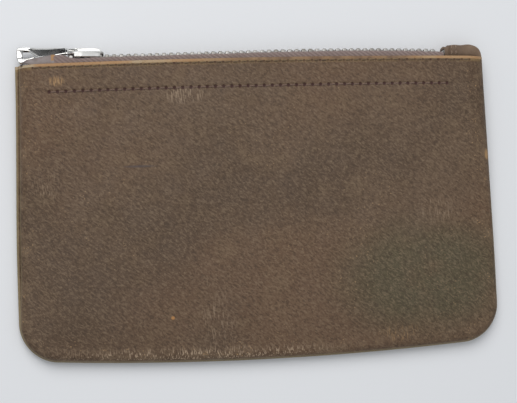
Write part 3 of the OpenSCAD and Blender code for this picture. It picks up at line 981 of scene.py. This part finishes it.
def twill(name, light, dark):
    f = Finish(name, Roughness=0.85, Sheen_Weight=0.25)
    ribs = f.bands(1.15, 52, 0.5)
    yarn = f.bands(0.42, -20, 0.8)
    colour = f.blend(f.ramp(ribs, 0.25, 0.75), dark, light)
    colour = f.blend(f.ramp(f.noise(6, 3, 0.6), 0.42, 0.64, 0, 0.5), colour, dark)
    height = f.math("ADD", ribs, f.math("MULTIPLY", yarn, 0.4))
    return f.finish(colour, f.ramp(f.noise(2, 2), 0.3, 0.7, 0.8, 0.95), f.bump(height, 0.14, 0.8))


def woven_lining(name):
    f = Finish(name, Roughness=0.85, Sheen_Weight=0.2)
    warp, weft = f.bands(0.55, 0, 0.3), f.bands(0.55, 90, 0.3)
    height = f.math("MAXIMUM", warp, weft)
    colour = f.blend(f.ramp(f.noise(22, 4, 0.6), 0.35, 0.65), (0.42, 0.32, 0.2), (0.30, 0.22, 0.13))
    colour = f.blend(f.ramp(height, 0.7, 0.3, 0, 0.4), colour, (0.2, 0.14, 0.08))
    return f.finish(colour, f.ramp(f.noise(3, 2), 0.3, 0.7, 0.8, 0.95), f.bump(height, 0.08, 0.7))


def dull_metal(name):
    f = Finish(name, Metallic=1.0, Roughness=0.4)
    stain = f.noise(1.6, 3, 0.6)
    colour = f.blend(f.ramp(stain, 0.4, 0.66), (0.56, 0.54, 0.51), (0.32, 0.30, 0.27))
    return f.finish(colour, f.ramp(stain, 0.35, 0.7, 0.28, 0.55), f.bump(f.noise(0.3, 2), 0.04, 0.5))


def plated_metal(name, shine):
    """Bright plating; shine is its roughness where it is clean."""
    f = Finish(name, Metallic=1.0, Roughness=shine)
    smear = f.noise(2.4, 4, 0.6)
    scratch = f.noise(0.3, 2, 0.5, place=f.turned(20, (1, 8, 1)))
    colour = f.blend(f.ramp(smear, 0.5, 0.75, 0, 0.7), (0.74, 0.735, 0.71), (0.50, 0.48, 0.44))
    roughness = f.ramp(smear, 0.35, 0.75, shine, shine + 0.15)
    return f.finish(colour, roughness, f.bump(scratch, 0.012, 0.5))


def sewing_thread(name, light, dark):
    f = Finish(name, Roughness=0.75, Sheen_Weight=0.2)
    twist = f.bands(0.34, 35, 0.2)
    colour = f.blend(f.ramp(twist, 0.3, 0.7), dark, light)
    colour = f.blend(f.ramp(f.noise(5, 2), 0.45, 0.62, 0, 0.7), colour, dark)
    return f.finish(colour, f.ramp(f.noise(2, 2), 0.3, 0.7, 0.7, 0.9), f.bump(twist, 0.08, 0.8))


# ---------------------------------------------------------------- pieces
# The front half's pieces are made as a left and a right half.
# Each has its side of the middle, and a pair of places in x.
HALVES = {"left": (-1, (-80, -2)), "right": (1, (54, 2))}


def new_object(name, shape, materials, closed=True):
    mesh = bpy.data.meshes.new(name)
    mesh.from_pydata((shape.points * MM).tolist(), [], shape.faces)
    for material in materials:
        mesh.materials.append(material)
    mesh.polygons.foreach_set("material_index", shape.finish)
    work = bmesh.new()
    work.from_mesh(mesh)
    if closed:  # a half is open where it was cut from the whole
        cuts = [e for e in work.edges if e.is_boundary]
        bmesh.ops.holes_fill(work, edges=cuts)
        for edge in cuts:
            edge.smooth = False
    bmesh.ops.recalc_face_normals(work, faces=work.faces)
    work.to_mesh(mesh)
    work.free()
    mesh.polygons.foreach_set("use_smooth", [closed] * len(mesh.polygons))
    rest = mesh.attributes.new("rest", "FLOAT_VECTOR", "POINT")
    rest.data.foreach_set("vector", (shape.points * MM).astype(np.float32).ravel())
    if shape.flat is not None:
        flat = mesh.attributes.new("flat", "FLOAT_VECTOR", "POINT")
        flat.data.foreach_set("vector", shape.flat.astype(np.float32).ravel())
    made = bpy.data.objects.new(name, mesh)
    bpy.context.scene.collection.objects.link(made)
    return made


def crisp(made):
    """Keeps the hard edges of metal parts sharp in the shading."""
    hard = math.radians(40)
    work = bmesh.new()
    work.from_mesh(made.data)
    for edge in work.edges:
        edge.smooth = len(edge.link_faces) != 2 or edge.calc_face_angle(0) < hard
    work.to_mesh(made.data)
    work.free()


def place(name, shape, materials, node, slot, body, hard=False):
    """Makes a piece that stands for a CAD node and hides that node; a front piece is made as a left and a
    right half, and any other piece rides on its body.
    """
    made = []
    if body == "front":
        for side, (sign, (start, end)) in HALVES.items():
            half = shape.half(sign)
            if not half.faces:
                continue
            piece = new_object(f"{name}_{side}", half, materials)
            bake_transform(piece)
            made.append(piece)
    else:
        piece = new_object(name, shape, materials)
        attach(piece, body)
        made.append(piece)
    for piece in made:
        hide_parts(node)
        if hard:
            crisp(piece)
    return made


SIDES = ("front", "back")


def place_panels(raw):
    hide = leather("worn_leather")
    place("front_leather", front_shell(), [hide, raw], "front_panel", "leather", "front")
    place("back_leather", back_shell(), [hide, raw], "back_panel", "leather", "back")


def place_tabs(raw):
    grey = tab_leather("grey_tab_leather", (0.27, 0.23, 0.22), (0.17, 0.14, 0.135))
    brown = tab_leather("brown_tab_leather", (0.205, 0.138, 0.090), (0.135, 0.086, 0.054))
    place("left_tab", left_tab(), [grey, raw], "left_end_tab", "tab_leather", "front")
    place("right_tab", right_tab(), [brown], "right_end_tab", "tab_leather", "back")


def place_linings():
    cloth = woven_lining("lining_weave")
    for side in SIDES:
        pieces = place(f"{side}_lining_cloth", lining(side), [cloth], f"{side}_lining", "lining", side)


def place_tapes():
    weave = twill("zip_tape_twill", (0.275, 0.205, 0.185), (0.205, 0.15, 0.135))
    for side in SIDES:
        shape = on_side(side, zip_tape())
        for piece in place(f"{side}_tape", shape, [weave], f"{side}_zip_tape", "zip_tape", side):
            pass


def place_zip():
    metal = dull_metal("dull_teeth_metal")
    satin = plated_metal("satin_slider_plating", 0.34)
    chrome = plated_metal("bright_pull_plating", 0.09)
    for side, shift in zip(SIDES, (0, TOOTH_PITCH / 2)):
        row = on_side(side, teeth_row(shift))
        place(f"{side}_teeth_row", row, [metal], f"{side}_teeth", "teeth_metal", side, hard=True)
    for name, node, body in (("front_stop", "front_top_stop", "front"),
                             ("back_stop", "back_top_stop", "back"),
                             ("end_stop", "bottom_stop", "back")):
        place(name, stop(node), [metal], node, "teeth_metal", body, hard=True)
    place("slider", slider(), [satin], "slider_body", "slider_metal", "slider", hard=True)
    place("pull", pull(), [chrome], "pull_tab", "slider_metal", "pull", hard=True)


def place_threads():
    red = sewing_thread("hem_thread", (0.21, 0.135, 0.10), (0.165, 0.10, 0.074))
    olive = sewing_thread("edge_thread", (0.20, 0.135, 0.065), (0.09, 0.05, 0.03))
    pale = sewing_thread("tack_thread", (0.36, 0.26, 0.18), (0.20, 0.13, 0.09))
    seed = 5
    for side in SIDES:
        for row, y, ends, diameter, thread in (("edge", EDGE_ROW_Y, (-ROW_HALF_W, ROW_HALF_W), 0.5, olive),
                                               ("hem", HEM_Y, HEM_X, 0.52, red)):
            shape = stitch_row(side, y, *ends, diameter, seed)
            place(f"{side}_{row}_thread", shape, [thread], f"{side}_{row}_stitching", "thread", side)
            seed += 1
    place("seam_stitches", seam_stitches(), [olive], "seam_thread", "thread", "back")
    place("tack_stitches", tack_stitches(), [pale], "tab_tack_stitches", "thread", "back")


# ---------------------------------------------------------------- room, light and camera
def floor():
    f = Finish("pale_table", Roughness=0.6)
    colour = f.blend(f.noise(90, 3, 0.5), (0.81, 0.825, 0.845), (0.83, 0.845, 0.865))
    half = 4000
    shape = Shape([(-half, -half, 0), (half, -half, 0), (half, half, 0), (-half, half, 0)], [(0, 1, 2, 3)])
    new_object("floor", shape, [f.finish(colour)], closed=False)


def window_light():
    """A large soft light behind the mouth and high up, aimed at the pouch."""
    data = bpy.data.lights.new("window", "AREA")
    data.shape = "DISK"
    data.size = 900 * MM
    data.energy = 7.2
    data.color = (1.0, 0.99, 0.98)
    lamp = bpy.data.objects.new("window", data)
    bpy.context.scene.collection.objects.link(lamp)
    lamp.location = np.array([-200, 700, 900]) * MM
    lamp.rotation_euler = (-lamp.location).to_track_quat("-Z", "Y").to_euler()


def world():
    """A bright ceiling over dimmer walls."""
    made = bpy.data.worlds.new("soft_room")
    bpy.context.scene.world = made
    made.use_nodes = True
    nodes, links = made.node_tree.nodes, made.node_tree.links
    up = nodes.new("ShaderNodeSeparateXYZ")
    links.new(nodes.new("ShaderNodeTexCoord").outputs["Generated"], up.inputs[0])
    ceiling = nodes.new("ShaderNodeMapRange")
    links.new(up.outputs["Z"], ceiling.inputs["Value"])
    for key, value in (("From Min", 0.12), ("From Max", 0.75), ("To Min", 0.03), ("To Max", 0.66)):
        ceiling.inputs[key].default_value = value
    background = nodes["Background"]
    background.inputs["Color"].default_value = (0.95, 0.97, 1.0, 1)
    links.new(ceiling.outputs[0], background.inputs["Strength"])


def camera():
    data = bpy.data.cameras.new("camera")
    made = bpy.data.objects.new("camera", data)
    bpy.context.scene.collection.objects.link(made)
    bpy.context.scene.camera = made
    data.sensor_width = 36
    data.clip_start = 0.05
    data.clip_end = 20
    distance, seen_width = 450, 182.44  # from the aim point, and across the picture there
    data.lens = data.sensor_width * distance / seen_width
    lean, tilt, roll = math.radians(3.3), math.radians(-7.8), math.radians(-2.0)
    aim = np.array([-1.2, 0.8, 9.0])
    rotation = Matrix.Rotation
    turn = rotation(lean, 4, "X") @ rotation(tilt, 4, "Y") @ rotation(roll, 4, "Z")
    back = np.array((turn @ Vector((0, 0, 1, 0)))[:3])
    made.matrix_world = Matrix.Translation(Vector((aim + distance * back) * MM)) @ turn


raw_edge = raw_leather("raw_leather_edge", (0.41, 0.265, 0.14), (0.40, 0.23, 0.11))
place_panels(raw_edge)
place_linings()
place_tapes()
place_zip()
place_tabs(raw_edge)
place_threads()
floor()
window_light()
world()
camera()
bpy.context.scene.view_settings.view_transform = "Standard"
